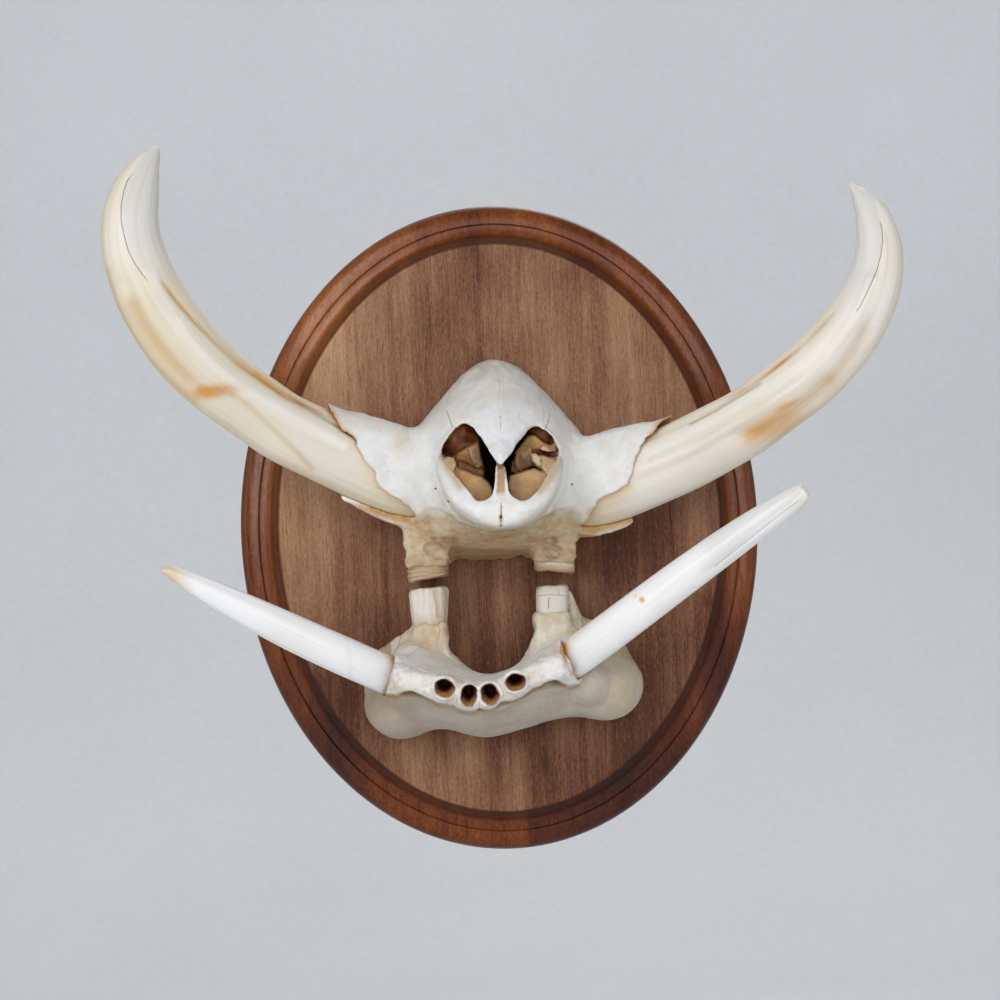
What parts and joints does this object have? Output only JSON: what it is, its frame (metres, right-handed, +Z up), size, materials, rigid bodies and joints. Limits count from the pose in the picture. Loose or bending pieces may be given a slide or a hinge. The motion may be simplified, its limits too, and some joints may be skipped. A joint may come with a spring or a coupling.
{
  "type": "warthog tusk mount",
  "caption": "Wall-hung oval wooden plaque carrying the sawn-off snout and lower jaw tip of a warthog, with the long curved upper tusks and slim lower tusks in their sockets.",
  "frame": {"origin": "centre of the plaque's flat back face, which lies against the wall", "axes": "+Z up, +X to the right of someone who faces the mount, +Y into the wall, so the jaws point along -Y"},
  "size_m": [0.3417, 0.1144, 0.3132],
  "materials": {
    "walnut": "satin varnish, glossier on the moulded edge",
    "bone": "dry bleached bone, matte",
    "tusk_ivory": "smooth ivory, satin to glossy",
    "tooth": "worn enamel and dentine",
    "screw_steel": "zinc plated",
    "hanger_brass": "brass plated"
  },
  "bodies": {
    "root": {"plaque": "walnut", "upper_jaw": "bone", "upper_tusk_left": "tusk_ivory", "upper_tusk_right": "tusk_ivory", "upper_cheek_tooth_left": "tooth", "upper_cheek_tooth_right": "tooth", "lower_jaw": "bone", "lower_tusk_left": "tusk_ivory", "lower_tusk_right": "tusk_ivory", "lower_cheek_tooth_left": "tooth", "lower_cheek_tooth_right": "tooth", "upper_jaw_screw_top": "screw_steel", "upper_jaw_screw_bottom": "screw_steel", "lower_jaw_screw_left": "screw_steel", "lower_jaw_screw_right": "screw_steel", "hanger": "hanger_brass", "hanger_nail_left": "hanger_brass", "hanger_nail_right": "hanger_brass"}
  },
  "joints": []
}
